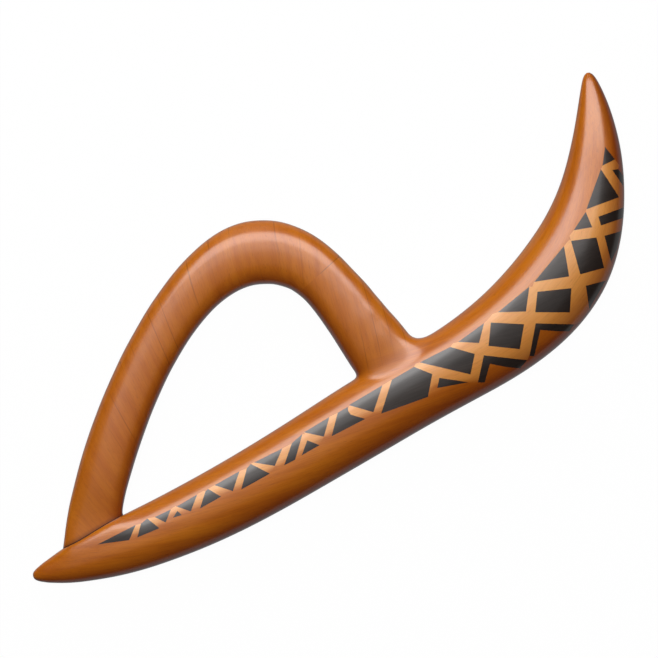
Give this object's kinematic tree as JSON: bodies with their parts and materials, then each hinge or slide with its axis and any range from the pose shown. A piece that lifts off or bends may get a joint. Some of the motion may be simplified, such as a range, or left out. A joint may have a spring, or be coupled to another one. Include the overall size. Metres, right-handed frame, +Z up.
{
  "type": "boomerang",
  "caption": "Hardwood boomerang with a horn-shaped blade, an arched second limb glued to its upper edge, and a flush geometric timber inlay along the head.",
  "frame": {"origin": "the centre of the plan bounding box, on the plane that the flat underside rests on", "axes": "+X along the tip-to-tip chord from the plain tail tip to the curved head tip, +Y towards the arched limb, +Z up out of the inlaid face"},
  "size_m": [0.4594, 0.1922, 0.0251],
  "materials": {
    "blade_wood": "satin-gloss lacquer over orange-brown hardwood",
    "bow_wood": "satin-gloss lacquer over orange-brown hardwood",
    "dark_inlay": "lacquered near-black timber veneer",
    "pale_inlay": "lacquered pale honey timber veneer",
    "dowel_wood": "bare turned dowel"
  },
  "bodies": {
    "root": {"main_blade": "blade_wood", "arch_bow": "bow_wood", "shoulder_block": "bow_wood", "scarf_dowels": "dowel_wood", "foot_dowels": "dowel_wood", "shoulder_dowels": "dowel_wood", "dark_inlay_01": "dark_inlay", "dark_inlay_02": "dark_inlay", "dark_inlay_03": "dark_inlay", "dark_inlay_04": "dark_inlay", "dark_inlay_05": "dark_inlay", "dark_inlay_06": "dark_inlay", "dark_inlay_07": "dark_inlay", "dark_inlay_08": "dark_inlay", "dark_inlay_09": "dark_inlay", "dark_inlay_10": "dark_inlay", "dark_inlay_11": "dark_inlay", "dark_inlay_12": "dark_inlay", "dark_inlay_13": "dark_inlay", "dark_inlay_14": "dark_inlay", "dark_inlay_15": "dark_inlay", "dark_inlay_16": "dark_inlay", "dark_inlay_17": "dark_inlay", "dark_inlay_18": "dark_inlay", "dark_inlay_19": "dark_inlay", "dark_inlay_20": "dark_inlay", "dark_inlay_21": "dark_inlay", "dark_inlay_22": "dark_inlay", "dark_inlay_23": "dark_inlay", "dark_inlay_24": "dark_inlay", "dark_inlay_25": "dark_inlay", "dark_inlay_26": "dark_inlay", "dark_inlay_27": "dark_inlay", "dark_inlay_28": "dark_inlay", "dark_inlay_29": "dark_inlay", "dark_inlay_30": "dark_inlay", "dark_inlay_31": "dark_inlay", "dark_inlay_32": "dark_inlay", "pale_strips_tail_steep": "pale_inlay", "pale_strips_tail_shallow": "pale_inlay", "pale_band_01": "pale_inlay", "pale_band_02": "pale_inlay", "pale_band_03": "pale_inlay", "pale_band_04": "pale_inlay", "pale_band_05": "pale_inlay", "pale_band_06": "pale_inlay", "pale_cross_01": "pale_inlay", "pale_cross_02": "pale_inlay", "pale_cross_03": "pale_inlay", "pale_cross_04": "pale_inlay", "pale_cross_05": "pale_inlay", "pale_cross_06": "pale_inlay"}
  },
  "joints": []
}
